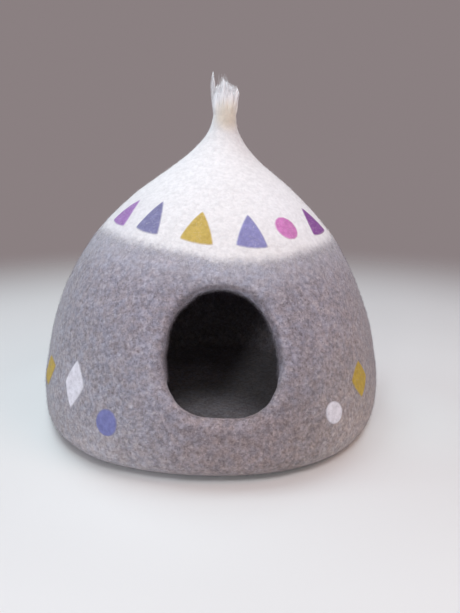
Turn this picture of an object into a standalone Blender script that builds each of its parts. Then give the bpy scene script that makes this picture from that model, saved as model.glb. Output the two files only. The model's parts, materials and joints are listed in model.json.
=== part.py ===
"""Felt cat cave, modelled in Blender 4.5: a dome of thick wool felt with one entrance, a white
cap that runs up into a thin neck, a tuft of loose wool, and two rows of felted motifs.

Metres, +Z up. The origin is on the floor under the middle of the body, and the entrance faces -Y.
An azimuth is measured about the origin from -Y towards +X, so it grows to the viewer's right.
"""

import bisect
import math
import random

import bmesh
import bpy
from mathutils import Vector

# ---- driving dimensions -------------------------------------------------------------------------

# The body's outer surface: how far its middle leans towards +X, and its radius, at each height.
BODY_SECTIONS = [
    # height, radius, lean
    (0.000, 0.2260, 0.0000),
    (0.005, 0.2370, 0.0000),
    (0.015, 0.2510, 0.0000),
    (0.035, 0.2570, 0.0000),
    (0.065, 0.2562, 0.0000),
    (0.100, 0.2489, 0.0000),
    (0.140, 0.2397, 0.0000),
    (0.180, 0.2257, 0.0000),
    (0.220, 0.2062, 0.0005),
    (0.260, 0.1823, 0.0012),
    (0.290, 0.1575, 0.0020),
    (0.315, 0.1318, 0.0033),
    (0.335, 0.1090, 0.0050),
    (0.352, 0.0868, 0.0072),
    (0.366, 0.0668, 0.0096),
    (0.380, 0.0496, 0.0120),
    (0.395, 0.0348, 0.0144),
    (0.410, 0.0234, 0.0166),
    (0.425, 0.0172, 0.0182),
    (0.437, 0.0152, 0.0192),
]
# The body isn't quite round: each wave adds its amplitude towards its crest, fading out upwards.
BODY_WAVES = [
    # waves round the body, amplitude, azimuth of one crest in degrees
    (2, 0.0009, 43.0),
    (3, 0.0008, -16.0),
    (4, 0.0032, 23.0),
    (5, 0.0031, 34.0),
]
WAVES_END_HEIGHT = 0.30
WALL = 0.007
WHITE_FROM_HEIGHT = 0.268

# The mesh's rows of cells, from the floor to the top of the neck.
ROW_BANDS = [
    # lowest height, highest height, rows
    (0.000, 0.035, 4),
    (0.035, 0.245, 15),
    (0.245, 0.437, 14),
]
COLUMNS = 60
FRONT_DENSITY = 0.3
BASE_RINGS = [0.86, 0.45]
SOLID_FROM_HEIGHT = 0.396

# The entrance: a rounded arch, wider than a circle below its widest line and nearly round above.
ENTRANCE_HALF_WIDTH = 0.0675
ENTRANCE_WIDEST_HEIGHT = 0.150
ENTRANCE_RISE = 0.079
ENTRANCE_DROP = 0.062
ROUNDNESS_ABOVE = 2.1
ROUNDNESS_BELOW = 2.65
ENTRANCE_COLUMNS = 4
BLEND_REACH = 2.2
RIM_STEPS = 4
ROLL_DEPTH = 0.004
ROLL_WIDTH = 0.016

# The felted motifs lie on the body a hair's breadth apart from it.
MOTIF_THICKNESS = 0.001
MOTIF_GAP = 0.00035
MOTIF_RINGS = [0.5]
CORNER_ROUNDING = 0.12
SIDE_POINTS = 2
SIDE_BOW = 0.04
CIRCLE_POINTS = 14

COLOURS = {
    "grey_felt": (0.30, 0.28, 0.29),
    "white_felt": (0.80, 0.78, 0.75),
    "light_purple": (0.38, 0.20, 0.50),
    "grey_blue": (0.19, 0.20, 0.36),
    "yellow": (0.58, 0.44, 0.09),
    "violet": (0.22, 0.21, 0.46),
    "pink": (0.58, 0.16, 0.42),
    "dark_purple": (0.22, 0.07, 0.28),
}

# Lean moves a motif's top sideways, and drop lowers its right side, both against its middle.
CAP_MOTIFS = [
    # kind, colour, azimuth in degrees, height, width, length, lean, drop
    ("triangle", "light_purple", -59.2, 0.3082, 0.044, 0.046, 0.0018, 0.0035),
    ("triangle", "grey_blue", -35.1, 0.3049, 0.038, 0.053, -0.0003, 0.0040),
    ("triangle", "yellow", -9.7, 0.2952, 0.042, 0.049, 0.0016, 0.0047),
    ("triangle", "violet", 13.7, 0.2900, 0.040, 0.051, 0.0023, 0.0028),
    ("circle", "pink", 33.1, 0.2903, 0.034, 0.036, 0.0003, 0.0008),
    ("triangle", "dark_purple", 58.2, 0.2944, 0.049, 0.047, 0.0012, -0.0009),
]
LOWER_MOTIFS = [
    # kind, colour, azimuth in degrees, height, width, length, lean, drop
    ("diamond", "yellow", -66.2, 0.0972, 0.052, 0.041, -0.0036, -0.0140),
    ("diamond", "white_felt", -47.2, 0.1035, 0.040, 0.061, 0.0012, -0.0015),
    ("circle", "violet", -33.0, 0.0707, 0.031, 0.034, -0.0002, 0.0000),
    ("circle", "white_felt", 31.9, 0.0758, 0.029, 0.029, 0.0000, 0.0016),
    ("diamond", "yellow", 46.7, 0.0990, 0.044, 0.048, 0.0023, 0.0034),
]
# Round the back the rows go on with the same kinds, evenly spaced between these azimuths.
BACK_SPANS = {"cap": (92.0, 266.0), "lower": (80.0, 274.0)}
BACK_CAP_KINDS = [
    # kind, colour
    ("triangle", "yellow"),
    ("triangle", "grey_blue"),
    ("circle", "pink"),
    ("triangle", "light_purple"),
    ("triangle", "violet"),
    ("triangle", "yellow"),
    ("circle", "pink"),
    ("triangle", "dark_purple"),
    ("triangle", "grey_blue"),
]
BACK_LOWER_KINDS = [
    # kind, colour
    ("circle", "violet"),
    ("diamond", "white_felt"),
    ("circle", "pink"),
    ("diamond", "yellow"),
    ("circle", "white_felt"),
    ("diamond", "violet"),
    ("circle", "yellow"),
    ("diamond", "white_felt"),
    ("circle", "violet"),
]
BACK_CAP_HEIGHTS = {"circle": 0.297, "triangle": 0.299}
BACK_LOWER_HEIGHTS = {"circle": 0.073, "diamond": 0.103}
BACK_SIZES = {
    # kind: width, length
    "triangle": (0.040, 0.050),
    "diamond": (0.040, 0.050),
    "circle": (0.030, 0.033),
}

# The tuft: a short head on the neck, and tapered locks that spread, then close a little.
TUFT_GAP = 0.0003
HEAD_SECTION = [
    # height above the neck, radius
    (0.0290, 0.0000),
    (0.0280, 0.0065),
    (0.0245, 0.0120),
    (0.0190, 0.0158),
    (0.0120, 0.0168),
    (0.0055, 0.0160),
    (0.0000, 0.0151),
]
HEAD_STEPS = 24
LOCKS = 48
LOCK_RADIUS = 0.0023
LOCK_ROOT_HEIGHT = 0.0120
LOCK_ROOTS_RADIUS = 0.0140
LOCK_PATH = [
    # share of the lock's height, spread from the tuft's middle, share of the lock's thickness
    (0.00, 1.00, 1.00),
    (0.30, 1.16, 1.00),
    (0.60, 1.27, 0.90),
    (0.82, 1.25, 0.65),
    (1.00, 1.15, 0.22),
]
MAIN_LOCKS_TOP = 0.486
MAIN_LOCKS_FALL = 0.45
PARTED_LOCKS_TOP = 0.496
PARTED_LOCKS_BEYOND = -0.0095
PARTING = 0.0032
LOCK_LEAN = 0.0020
LOCK_UNEVENNESS = 0.0030
LOCK_SEED = 7


# ---- the body's surface -------------------------------------------------------------------------


def smooth_line(places, values):
    """A function that reads the smooth line through a table's points, never swinging past them."""
    spans = [after - before for before, after in zip(places, places[1:])]
    steps = [(after - before) / span for before, after, span in zip(values, values[1:], spans)]
    slopes = [2 * a * b / (a + b) if a * b > 0 else 0.0 for a, b in zip(steps, steps[1:])]
    slopes = [steps[0], *slopes, steps[-1]]

    def read(place):
        i = min(max(bisect.bisect_left(places, place) - 1, 0), len(spans) - 1)
        span, t = spans[i], (place - places[i]) / spans[i]
        start = (1 + 2 * t) * (1 - t) ** 2 * values[i] + t * (1 - t) ** 2 * span * slopes[i]
        end = t * t * (3 - 2 * t) * values[i + 1] - t * t * (1 - t) * span * slopes[i + 1]
        return start + end

    return read


HEIGHTS, RADII, LEANS = zip(*BODY_SECTIONS)
radius_at = smooth_line(HEIGHTS, RADII)
lean_at = smooth_line(HEIGHTS, LEANS)


def body_radius(azimuth, height):
    """The outer radius there, with the body's unevenness."""
    fade = max(0.0, 1.0 - height / WAVES_END_HEIGHT)
    waves = sum(
        amplitude * math.cos(count * (azimuth - math.radians(crest)))
        for count, amplitude, crest in BODY_WAVES
    )
    return radius_at(height) + fade * waves


def outer_point(azimuth, height):
    """A point of the smooth outer surface, before the entrance draws it in."""
    radius = body_radius(azimuth, height)
    across, away = radius * math.sin(azimuth), radius * math.cos(azimuth)
    return Vector((lean_at(height) + across, -away, height))


def outward(azimuth, height):
    """The surface's outward direction, from two short steps along it."""
    step = 0.0005
    low, high = max(height - step, HEIGHTS[0]), min(height + step, HEIGHTS[-1])
    along = outer_point(azimuth + step, height) - outer_point(azimuth - step, height)
    up = outer_point(azimuth, high) - outer_point(azimuth, low)
    return along.cross(up).normalized()


def entrance_reach(angle, growth=0.0):
    """How far the entrance's outline lies from its middle, at an angle from the right side."""
    below = math.sin(angle) < 0
    half_height = (ENTRANCE_DROP if below else ENTRANCE_RISE) + growth
    power = ROUNDNESS_BELOW if below else ROUNDNESS_ABOVE
    across = abs(math.cos(angle)) / (ENTRANCE_HALF_WIDTH + growth)
    up = abs(math.sin(angle)) / half_height
    return (across**power + up**power) ** (-1 / power)


def beyond_entrance(azimuth, height):
    """How far outside the entrance's outline a point of the surface lies."""
    across = azimuth * body_radius(azimuth, height)
    up = height - ENTRANCE_WIDEST_HEIGHT
    return math.hypot(across, up) - entrance_reach(math.atan2(up, across))


def felt_point(azimuth, height, depth=0.0):
    """A point at a depth inside the felt. The wall rolls inwards a little round the entrance."""
    nearness = max(0.0, 1.0 - beyond_entrance(azimuth, height) / ROLL_WIDTH)
    roll = ROLL_DEPTH * min(nearness, 1.0) ** 2 if abs(azimuth) < math.pi / 2 else 0.0
    return outer_point(azimuth, height) - outward(azimuth, height) * (depth + roll)


# ---- the felt shell -----------------------------------------------------------------------------


def row_heights():
    heights = [HEIGHTS[0]]
    for low, high, rows in ROW_BANDS:
        heights += [low + (high - low) * (i + 1) / rows for i in range(rows)]
    return heights


def column_azimuths():
    """The columns lie closer together at the entrance than at the back."""
    turns = [2 * math.pi * i / COLUMNS for i in range(COLUMNS)]
    wrapped = [turn if turn <= math.pi else turn - 2 * math.pi for turn in turns]
    return [turn - FRONT_DENSITY * math.sin(turn) for turn in wrapped]


def nearest(values, wanted):
    return min(range(len(values)), key=lambda i: abs(values[i] - wanted))


class Grid:
    """The shell's columns and rows, and the block of cells that the entrance takes."""

    def __init__(self):
        self.azimuths = column_azimuths()
        self.heights = row_heights()
        self.low_row = nearest(self.heights, ENTRANCE_WIDEST_HEIGHT - ENTRANCE_DROP)
        self.high_row = nearest(self.heights, ENTRANCE_WIDEST_HEIGHT + ENTRANCE_RISE)
        low, high = self.heights[self.low_row], self.heights[self.high_row]
        self.middle, self.half_height = (low + high) / 2, (high - low) / 2
        self.half_azimuth = self.azimuths[ENTRANCE_COLUMNS]

    def is_cut_out(self, column, row):
        """Whether a grid point lies inside the block, away from its edge."""
        from_middle = min(column, COLUMNS - column)
        return from_middle < ENTRANCE_COLUMNS and self.low_row < row < self.high_row

    def is_open(self, column, row):
        """Whether the cell above and after a grid point is one of the entrance's."""
        from_middle = min(column, COLUMNS - 1 - column)
        return from_middle < ENTRANCE_COLUMNS and self.low_row <= row < self.high_row

    def point(self, column, row, depth, growth):
        """A grid point in the felt, moved so that the block takes the entrance's outline."""
        azimuth, height = self.azimuths[column], self.heights[row]
        across = azimuth / self.half_azimuth
        up = (height - self.middle) / self.half_height
        ring = max(abs(across), abs(up))
        if ring >= BLEND_REACH:
            return felt_point(azimuth, height, depth)
        angle = math.atan2(up, across)
        reach = ring * entrance_reach(angle, growth)
        new_height = ENTRANCE_WIDEST_HEIGHT + reach * math.sin(angle)
        new_azimuth = reach * math.cos(angle) / body_radius(azimuth, new_height)
        away = (ring - 1) / (BLEND_REACH - 1)
        away = away * away * (3 - 2 * away)
        azimuth = new_azimuth + (azimuth - new_azimuth) * away
        height = new_height + (height - new_height) * away
        return felt_point(azimuth, height, depth)

    def entrance_loop(self):
        """The columns and rows round the block, anticlockwise as seen from outside."""
        right, left = ENTRANCE_COLUMNS, COLUMNS - ENTRANCE_COLUMNS
        across = [*range(left, COLUMNS), *range(right + 1)]
        up = range(self.low_row, self.high_row + 1)
        loop = [(column, self.low_row) for column in across]
        loop += [(right, row) for row in up[1:]]
        loop += [(column, self.high_row) for column in across[-2::-1]]
        loop += [(left, row) for row in up[-2:0:-1]]
        return loop


def add_skin(mesh, grid, rows, depth, inside):
    """One side of the wall as a grid of cells up to a row. Returns its vertices by column and row."""
    skin = {}
    for column in range(COLUMNS):
        for row in range(rows + 1):
            if not grid.is_cut_out(column, row):
                skin[column, row] = mesh.verts.new(grid.point(column, row, depth, WALL / 2))
    for column in range(COLUMNS):
        after = (column + 1) % COLUMNS
        for row in range(rows):
            if grid.is_open(column, row):
                continue
            low = [skin[column, row], skin[after, row]]
            high = [skin[after, row + 1], skin[column, row + 1]]
            mesh.faces.new((low + high)[::-1] if inside else low + high)
    return skin


def add_end(mesh, edge, middle, shares=()):
    """Closes a skin's end with rings that shrink, by their shares, to one vertex."""
    before = edge
    for share in shares:
        ring = [mesh.verts.new(middle.lerp(vertex.co, share)) for vertex in edge]
        for i in range(-1, COLUMNS - 1):
            mesh.faces.new([before[i + 1], before[i], ring[i], ring[i + 1]])
        before = ring
    tip = mesh.verts.new(middle)
    for i in range(-1, COLUMNS - 1):
        mesh.faces.new([before[i + 1], before[i], tip])


def add_rim(mesh, grid, outer, inner):
    """Rounds the wall's edge at the entrance over from the outer skin to the inner one."""
    loop = grid.entrance_loop()
    before = [outer[place] for place in loop]
    for step in range(1, RIM_STEPS + 1):
        turn = math.pi * step / RIM_STEPS
        growth = WALL / 2 * (1 - math.sin(turn))
        depth = WALL / 2 * (1 - math.cos(turn))
        if step < RIM_STEPS:
            ring = [mesh.verts.new(grid.point(*place, depth, growth)) for place in loop]
        else:
            ring = [inner[place] for place in loop]
        for i in range(-1, len(loop) - 1):
            mesh.faces.new([before[i], before[i + 1], ring[i + 1], ring[i]])
        before = ring


def felt_shell(collection):
    """The cave's body: floor, wall, cap and solid neck in one closed body of felt."""
    grid = Grid()
    mesh = bmesh.new()
    rows = len(grid.heights) - 1
    inner_rows = sum(height < SOLID_FROM_HEIGHT for height in grid.heights) - 1
    outer = add_skin(mesh, grid, rows, 0.0, inside=False)
    inner = add_skin(mesh, grid, inner_rows, WALL, inside=True)
    add_rim(mesh, grid, outer, inner)

    columns = range(COLUMNS)
    add_end(mesh, [outer[column, 0] for column in columns], Vector((0, 0, 0)), BASE_RINGS)
    neck = [outer[column, rows] for column in reversed(columns)]
    add_end(mesh, neck, Vector((LEANS[-1], 0, HEIGHTS[-1])))
    floor = [inner[column, 0] for column in reversed(columns)]
    add_end(mesh, floor, Vector((0, 0, WALL)), BASE_RINGS)
    vault = [inner[column, inner_rows] for column in columns]
    add_end(mesh, vault, sum((vertex.co for vertex in vault), Vector()) / COLUMNS)

    shell = new_object("felt_shell", mesh, "grey_felt", collection)
    shell.data.materials.append(felt_material("felt_shell_cap", "white_felt"))
    for face in shell.data.polygons:
        face.material_index = int(face.center.z > WHITE_FROM_HEIGHT)


# ---- the motifs ---------------------------------------------------------------------------------


def corner_outline(corners):
    """A shape with slightly rounded corners, and sides that bow out a little."""
    outline = []
    for i, corner in enumerate(corners):
        before, after = corners[i - 1], corners[(i + 1) % len(corners)]
        start = corner.lerp(before, CORNER_ROUNDING)
        end = corner.lerp(after, CORNER_ROUNDING)
        outline += [start, start.lerp(end, 0.5).lerp(corner, 0.5), end]
        side = after.lerp(corner, CORNER_ROUNDING) - end
        bow = Vector((side.y, -side.x)) * SIDE_BOW
        for k in range(SIDE_POINTS):
            share = (k + 1) / (SIDE_POINTS + 1)
            outline.append(end + side * share + bow * (4 * share * (1 - share)))
    return fill_unit_square(outline)


def fill_unit_square(outline):
    """Shifts and stretches an outline until it just reaches -1 and 1 both ways."""
    low = Vector((min(point.x for point in outline), min(point.y for point in outline)))
    high = Vector((max(point.x for point in outline), max(point.y for point in outline)))
    middle, half = (low + high) / 2, (high - low) / 2
    shifted = [point - middle for point in outline]
    return [Vector((point.x / half.x, point.y / half.y)) for point in shifted]


def unit_outline(kind):
    """A motif's outline between -1 and 1 both ways, anticlockwise as seen from outside."""
    if kind == "triangle":
        return corner_outline([Vector((-1, -1)), Vector((1, -1)), Vector((0, 1))])
    if kind == "diamond":
        return corner_outline([Vector((1, 0)), Vector((0, 1)), Vector((-1, 0)), Vector((0, -1))])
    turns = [2 * math.pi * i / CIRCLE_POINTS for i in range(CIRCLE_POINTS)]
    return [Vector((math.cos(turn), math.sin(turn))) for turn in turns]


def steepness(height):
    """How much height a step up the surface gains."""
    step = 0.002
    rise = outer_point(0.0, height + step) - outer_point(0.0, height - step)
    return rise.z / rise.length


def felt_motif(collection, name, kind, colour, azimuth, height, width, length, lean, drop):
    """A thin piece of coloured felt that lies on the body and follows it."""
    right, top = Vector((width / 2, -drop)), Vector((lean, length / 2))
    slope = steepness(height)

    def on_body(point):
        local = right * point.x + top * point.y
        place_height = height + local.y * slope
        place_azimuth = math.radians(azimuth) + local.x / body_radius(0.0, place_height)
        return felt_point(place_azimuth, place_height, -MOTIF_GAP)

    outline = unit_outline(kind)
    count = len(outline)
    mesh = bmesh.new()
    before = [mesh.verts.new(on_body(point)) for point in outline]
    for share in MOTIF_RINGS:
        ring = [mesh.verts.new(on_body(point * share)) for point in outline]
        for i in range(-1, count - 1):
            mesh.faces.new([before[i], before[i + 1], ring[i + 1], ring[i]])
        before = ring
    middle = mesh.verts.new(on_body(Vector((0, 0))))
    for i in range(-1, count - 1):
        mesh.faces.new([before[i], before[i + 1], middle])

    motif = new_object(name, mesh, colour, collection)
    thickness = motif.modifiers.new("thickness", "SOLIDIFY")
    thickness.thickness = MOTIF_THICKNESS
    thickness.offset = 1.0


def back_row(span, kinds, heights):
    """The motifs round the back, evenly spaced from the span's first azimuth to its last."""
    first, last = span
    for i, (kind, colour) in enumerate(kinds):
        azimuth = first + (last - first) * i / (len(kinds) - 1)
        yield kind, colour, azimuth, heights[kind], *BACK_SIZES[kind], 0.0, 0.0


def felt_motifs(collection):
    back_cap = back_row(BACK_SPANS["cap"], BACK_CAP_KINDS, BACK_CAP_HEIGHTS)
    back_lower = back_row(BACK_SPANS["lower"], BACK_LOWER_KINDS, BACK_LOWER_HEIGHTS)
    rows = {"cap": [*CAP_MOTIFS, *back_cap], "lower": [*LOWER_MOTIFS, *back_lower]}
    for row, motifs in rows.items():
        for number, (kind, *rest) in enumerate(motifs, 1):
            felt_motif(collection, f"{row}_{kind}_{number:02d}", kind, *rest)


# ---- the tuft -----------------------------------------------------------------------------------


def lock_curve():
    """The tapered locks as one curve object, four-sided, with a spline for each lock."""
    rng = random.Random(LOCK_SEED)
    curve = bpy.data.curves.new("tuft_locks", "CURVE")
    curve.dimensions = "3D"
    curve.bevel_depth = LOCK_RADIUS
    curve.bevel_resolution = 0
    curve.use_fill_caps = True
    golden = math.pi * (3 - math.sqrt(5))
    root_height = HEIGHTS[-1] + LOCK_ROOT_HEIGHT
    for number in range(LOCKS):
        reach = LOCK_ROOTS_RADIUS * math.sqrt((number + 0.5) / LOCKS)
        root = Vector((reach * math.cos(number * golden), reach * math.sin(number * golden)))
        parted = root.x < PARTED_LOCKS_BEYOND
        top = PARTED_LOCKS_TOP if parted else MAIN_LOCKS_TOP - MAIN_LOCKS_FALL * max(root.x, 0.0)
        top -= LOCK_UNEVENNESS * rng.uniform(0, 2)
        sway = Vector((rng.uniform(-1, 1), rng.uniform(-1, 1))) * LOCK_UNEVENNESS / 3
        spline = curve.splines.new("POLY")
        spline.points.add(len(LOCK_PATH) - 1)
        for point, (share, spread, thickness) in zip(spline.points, LOCK_PATH):
            x = LEANS[-1] + root.x * spread + (LOCK_LEAN + sway.x) * share
            x -= PARTING * share if parted else 0.0
            y = root.y * spread + sway.y * share
            point.co = (x, y, root_height + (top - root_height) * share, 1.0)
            point.radius = thickness
    return bpy.data.objects.new("tuft_locks", curve)


def as_helper_mesh(source, helpers):
    """A curve object's own mesh, welded, in a hidden object that a Boolean can read."""
    helpers.objects.link(source)
    bpy.context.view_layer.update()
    evaluated = source.evaluated_get(bpy.context.evaluated_depsgraph_get())
    mesh = bpy.data.meshes.new_from_object(evaluated)
    welded = bmesh.new()
    welded.from_mesh(mesh)
    bmesh.ops.remove_doubles(welded, verts=welded.verts, dist=0.00001)
    bmesh.ops.recalc_face_normals(welded, faces=welded.faces)
    welded.to_mesh(mesh)
    welded.free()
    helper = bpy.data.objects.new(source.name + "_mesh", mesh)
    helper.matrix_world = source.matrix_world
    helper.hide_render = True
    helper.display_type = "WIRE"
    helpers.objects.link(helper)
    bpy.data.objects.remove(source)
    return helper


def tuft(collection, helpers):
    """The loose wool at the end of the neck: a turned head with the locks fused into it."""
    profile = bmesh.new()
    points = [profile.verts.new((radius, 0, height)) for height, radius in HEAD_SECTION]
    points.append(profile.verts.new((0, 0, 0)))
    for upper, lower in zip(points, points[1:]):
        profile.edges.new((upper, lower))
    head = new_object("tuft", profile, "white_felt", collection)
    head.location = (LEANS[-1], 0, HEIGHTS[-1] + TUFT_GAP)
    turned = head.modifiers.new("turned", "SCREW")
    turned.axis = "Z"
    turned.steps = turned.render_steps = HEAD_STEPS
    turned.use_merge_vertices = True
    turned.merge_threshold = 0.00001
    fused = head.modifiers.new("locks", "BOOLEAN")
    fused.operation = "UNION"
    fused.use_self = True
    fused.object = as_helper_mesh(lock_curve(), helpers)


# ---- materials and objects ----------------------------------------------------------------------


def felt_material(name, colour):
    material = bpy.data.materials.new(name)
    material.use_nodes = True
    shader = material.node_tree.nodes["Principled BSDF"]
    shader.inputs["Base Color"].default_value = (*COLOURS[colour], 1)
    shader.inputs["Roughness"].default_value = 0.95
    shader.inputs["Metallic"].default_value = 0.0
    return material


def new_object(name, mesh, colour, collection):
    data = bpy.data.meshes.new(name)
    mesh.to_mesh(data)
    mesh.free()
    made = bpy.data.objects.new(name, data)
    collection.objects.link(made)
    data.materials.append(felt_material(name, colour))
    data.shade_smooth()
    return made


def new_collection(name):
    collection = bpy.data.collections.new(name)
    bpy.context.scene.collection.children.link(collection)
    return collection


def main():
    for old in list(bpy.data.objects):
        bpy.data.objects.remove(old)
    cave = new_collection("felt_cat_cave")
    felt_shell(cave)
    felt_motifs(cave)
    tuft(cave, new_collection("helpers"))


main()
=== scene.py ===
"""The looks of a felt cat cave.

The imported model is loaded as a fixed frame. A grey wool felt body with a white cap, coloured
felted motifs, a nap of loose fibres and a wool tuft then take the place of its plain solids.
Lengths are in metres, +Z is up and the entrance faces -Y. An azimuth is an angle round the
Z axis, from -Y towards +X.
"""

import json
import math
import random

import bmesh
import bpy
import numpy as np
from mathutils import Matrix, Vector, noise
from mathutils.bvhtree import BVHTree
from mathutils.kdtree import KDTree


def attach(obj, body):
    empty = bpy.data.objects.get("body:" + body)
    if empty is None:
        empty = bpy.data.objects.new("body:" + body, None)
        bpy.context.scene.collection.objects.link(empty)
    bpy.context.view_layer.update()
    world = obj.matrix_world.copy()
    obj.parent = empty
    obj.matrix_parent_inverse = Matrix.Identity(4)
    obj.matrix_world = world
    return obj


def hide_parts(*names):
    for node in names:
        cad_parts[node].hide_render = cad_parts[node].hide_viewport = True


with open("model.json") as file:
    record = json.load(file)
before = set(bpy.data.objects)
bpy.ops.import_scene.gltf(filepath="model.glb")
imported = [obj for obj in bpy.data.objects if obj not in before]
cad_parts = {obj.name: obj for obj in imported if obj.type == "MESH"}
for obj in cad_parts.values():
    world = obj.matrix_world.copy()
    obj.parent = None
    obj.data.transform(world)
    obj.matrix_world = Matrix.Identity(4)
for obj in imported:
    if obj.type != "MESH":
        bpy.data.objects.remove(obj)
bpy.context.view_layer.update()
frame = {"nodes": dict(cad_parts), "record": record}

WELD = 1e-5
QUAD_ANGLE = math.radians(40)

# ---- sizes ----

# The felt's unevenness: hand-felted swells and dents, faded out at the flat base.
SWELLS = [
    # size of a swell, height
    (0.080, 0.0016),
    (0.034, 0.0006),
    (0.015, 0.0003),
]
# The heights over which the swells come in above the base, and grow less on the neck.
SWELL_START_HEIGHTS = (0.004, 0.016)
SWELL_CALM_HEIGHTS = (0.340, 0.380)
SWELL_CALM_SHARE = 0.35
# They move the felt away from here, and less upwards than sideways.
SWELL_CENTRE = Vector((0.0, 0.0, 0.05))
SWELL_UPWARDS_SHARE = 0.6
BODY_SUBDIVISIONS = 2
# The inner side counts as this far above the cap's edge, so it is grey all over.
INNER_SIDE_ABOVE_EDGE = -0.05

# What tells the outer side: the cabin's middle, and the heights over which the neck leans.
CABIN_MIDDLE_HEIGHT = 0.12
LEAN_HEIGHTS = (0.20, 0.40)

# The lower edge of the white cap, round the body.
CAP_EDGE = [
    # azimuth in degrees, height
    (-180, 0.2720),
    (-120, 0.2760),
    (-90, 0.2800),
    (-60, 0.2775),
    (-38, 0.2715),
    (-23, 0.2655),
    (-10, 0.2600),
    (0, 0.2538),
    (14, 0.2522),
    (24, 0.2545),
    (34, 0.2580),
    (60, 0.2625),
    (90, 0.2680),
    (130, 0.2740),
    (180, 0.2720),
]

# The entrance's outline, a rounded arch, and how unevenly its hand-cut edge runs.
ENTRANCE_HALF_WIDTH = 0.0675
ENTRANCE_WIDEST_HEIGHT = 0.150
ENTRANCE_RISE = 0.079
ENTRANCE_DROP = 0.062
ENTRANCE_ROUNDNESS = 2.3
EDGE_WOBBLES = [
    # size of a wobble, how far it reaches
    (0.020, 0.0012),
    (0.007, 0.0006),
]
EDGE_WOBBLE_SHIFT = Vector((0.31, 0.47, 0.73))
EDGE_CURL = 0.0085
EDGE_CURL_REACH = 0.022
EDGE_CURL_POWER = 5
EDGE_CURL_TOP_SHARE = 0.50
EDGE_CURL_TOP_POWER = 3.6
# How far the edge lies outside the rounded arch, seen from its middle.
EDGE_OFFSETS = [
    # direction in degrees from +X towards +Z, distance
    (-180, 0.0030),
    (-160, 0.0026),
    (-140, 0.0044),
    (-120, 0.0040),
    (-100, 0.0034),
    (-80, 0.0044),
    (-60, 0.0043),
    (-40, 0.0040),
    (-20, 0.0029),
    (0, 0.0017),
    (20, 0.0000),
    (40, -0.0012),
    (60, -0.0012),
    (90, 0.0010),
    (120, 0.0004),
    (140, 0.0021),
    (160, 0.0020),
    (180, 0.0030),
]
# Along its top the rolled edge gets painted shade, darker and browner, and along its bottom a paler
# painted highlight.
EDGE_PAINTED_SHADE = (0.92, 0.84, 0.79)
EDGE_DARK_REACH = 0.0060
EDGE_DARK_POWER = 3
EDGE_PAINTED_HIGHLIGHT = (1.30, 1.30, 1.28)
EDGE_PALE_REACH = 0.020
# Only the felt in front of this has them.
EDGE_TONE_FRONT = -0.1

# The motifs' low crown, from a share of the slope's width outside their outline.
MOTIF_CROWN = 0.0006
MOTIF_SINK = 0.0004
MOTIF_SLOPE_WIDTH = 0.0022
MOTIF_SLOPE_OUTSIDE = 0.35
MOTIF_UNEVENNESS = 0.00018
MOTIF_BUMP_SIZE = 0.004
MOTIF_OUTLINE_ROUNDING = 3
MOTIF_SUBDIVISIONS = 3
MOTIF_SHARP_ANGLE = math.radians(50)
# A motif's faces are on its outer side where they look this much the way that its row does.
OUTER_SIDE_SHARE = 0.6
CAP_ROW_RISE = 0.6

# The neck's middle line and the tuft's outline, by height.
TUFT_SECTIONS = [
    # height, middle x, radius of the main bunch
    (0.3950, 0.0144, 0.0348),
    (0.4100, 0.0166, 0.0234),
    (0.4250, 0.0182, 0.0172),
    (0.4370, 0.0192, 0.0156),
    (0.4450, 0.0197, 0.0164),
    (0.4570, 0.0208, 0.0178),
    (0.4650, 0.0219, 0.0180),
    (0.4730, 0.0228, 0.0162),
    (0.4800, 0.0226, 0.0144),
    (0.4870, 0.0216, 0.0122),
    (0.4960, 0.0205, 0.0100),
]
# How high the loose wool of the main bunch stands, from its left to its right.
TUFT_TOPS = [
    # x, height
    (0.0060, 0.4745),
    (0.0094, 0.4795),
    (0.0161, 0.4868),
    (0.0230, 0.4822),
    (0.0296, 0.4775),
    (0.0371, 0.4748),
]


def looked_up(table, value, column=1):
    """What a column of the table has for the value, between the rows on both sides of it."""
    return np.interp(value, [row[0] for row in table], [row[column] for row in table])


def smooth_step(low, high, value):
    share = np.clip((value - low) / (high - low), 0.0, 1.0)
    return share * share * (3 - 2 * share)


# ---- materials ----

GREY_DARK = (0.188, 0.172, 0.202)
GREY_LIGHT = (0.426, 0.400, 0.460)
WARM_HUE = (1.04, 0.995, 0.955)
COOL_HUE = (0.96, 0.995, 1.045)
WHITE_SHADE = (0.725, 0.715, 0.730)
WHITE_LIGHT = (0.875, 0.862, 0.875)
LOOSE_DARK = (0.860, 0.860, 0.890)
LOOSE_LIGHT = (0.950, 0.945, 0.965)

# Noises are given as the size of their features, their detail and, if need be, their roughness.
GREY_MOTTLE = (0.0048, 5.0, 0.68)
GREY_HUES = (0.0095, 3.0)
GREY_SHADES = [
    # noise, darkest factor, lightest factor
    ((0.013, 3.0), 0.90, 1.10),
    ((0.070, 2.0), 0.94, 1.06),
]
GREY_SPECKS = [
    # size, rarity, colour, how much of it
    (0.0031, 0.57, (0.120, 0.100, 0.112), 0.55),
    (0.0037, 0.58, (0.560, 0.535, 0.590), 0.45),
]
SPECK_SOFTNESS = 0.13
WHITE_CLUMPS = (0.0060, 4.0, 0.65)
# A noise's values that the whole way from one colour to another is spread over.
WIDE_SPAN = (0.25, 0.75)
NARROW_SPAN = (0.3, 0.7)
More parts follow.
